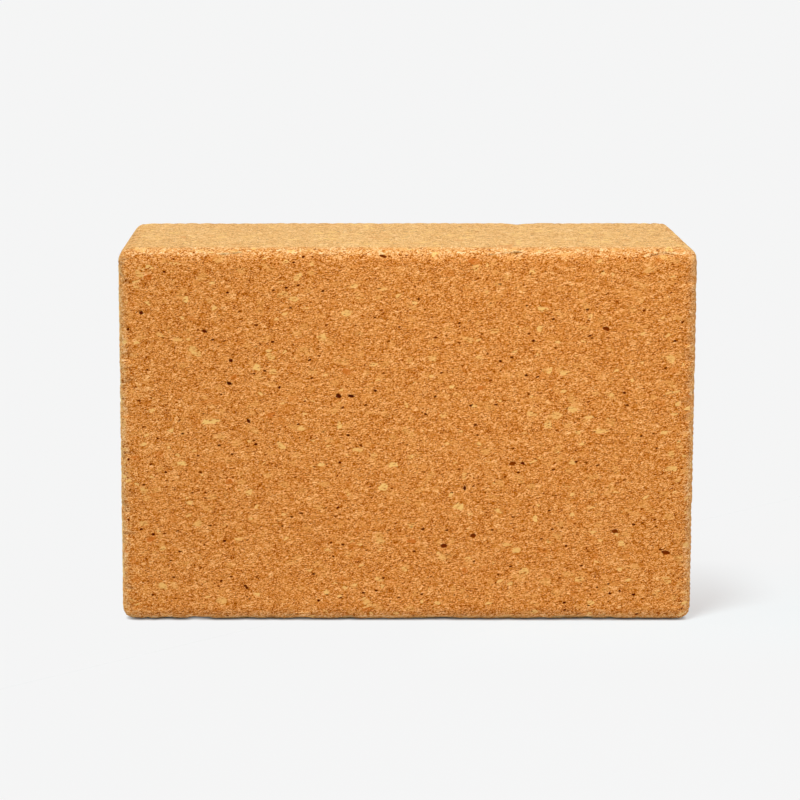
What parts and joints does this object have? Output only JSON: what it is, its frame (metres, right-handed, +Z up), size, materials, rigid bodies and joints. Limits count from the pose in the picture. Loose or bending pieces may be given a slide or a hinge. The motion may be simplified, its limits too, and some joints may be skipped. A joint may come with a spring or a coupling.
{
  "type": "yoga block",
  "caption": "Solid cork yoga block: a plain brick of pressed cork granules with rounded edges, used as a firm prop under a hand, foot, hip or back.",
  "frame": {"origin": "middle of the long narrow face that the block stands on, as in the picture", "axes": "+X along the length, to the right as seen from the front; +Y through the thickness, from the front face to the back face; +Z up"},
  "size_m": [0.228, 0.1, 0.15],
  "materials": {
    "cork": "pressed cork granules, sawn and sanded, unsealed, matt"
  },
  "bodies": {
    "root": {"cork_block": "cork"}
  },
  "joints": []
}
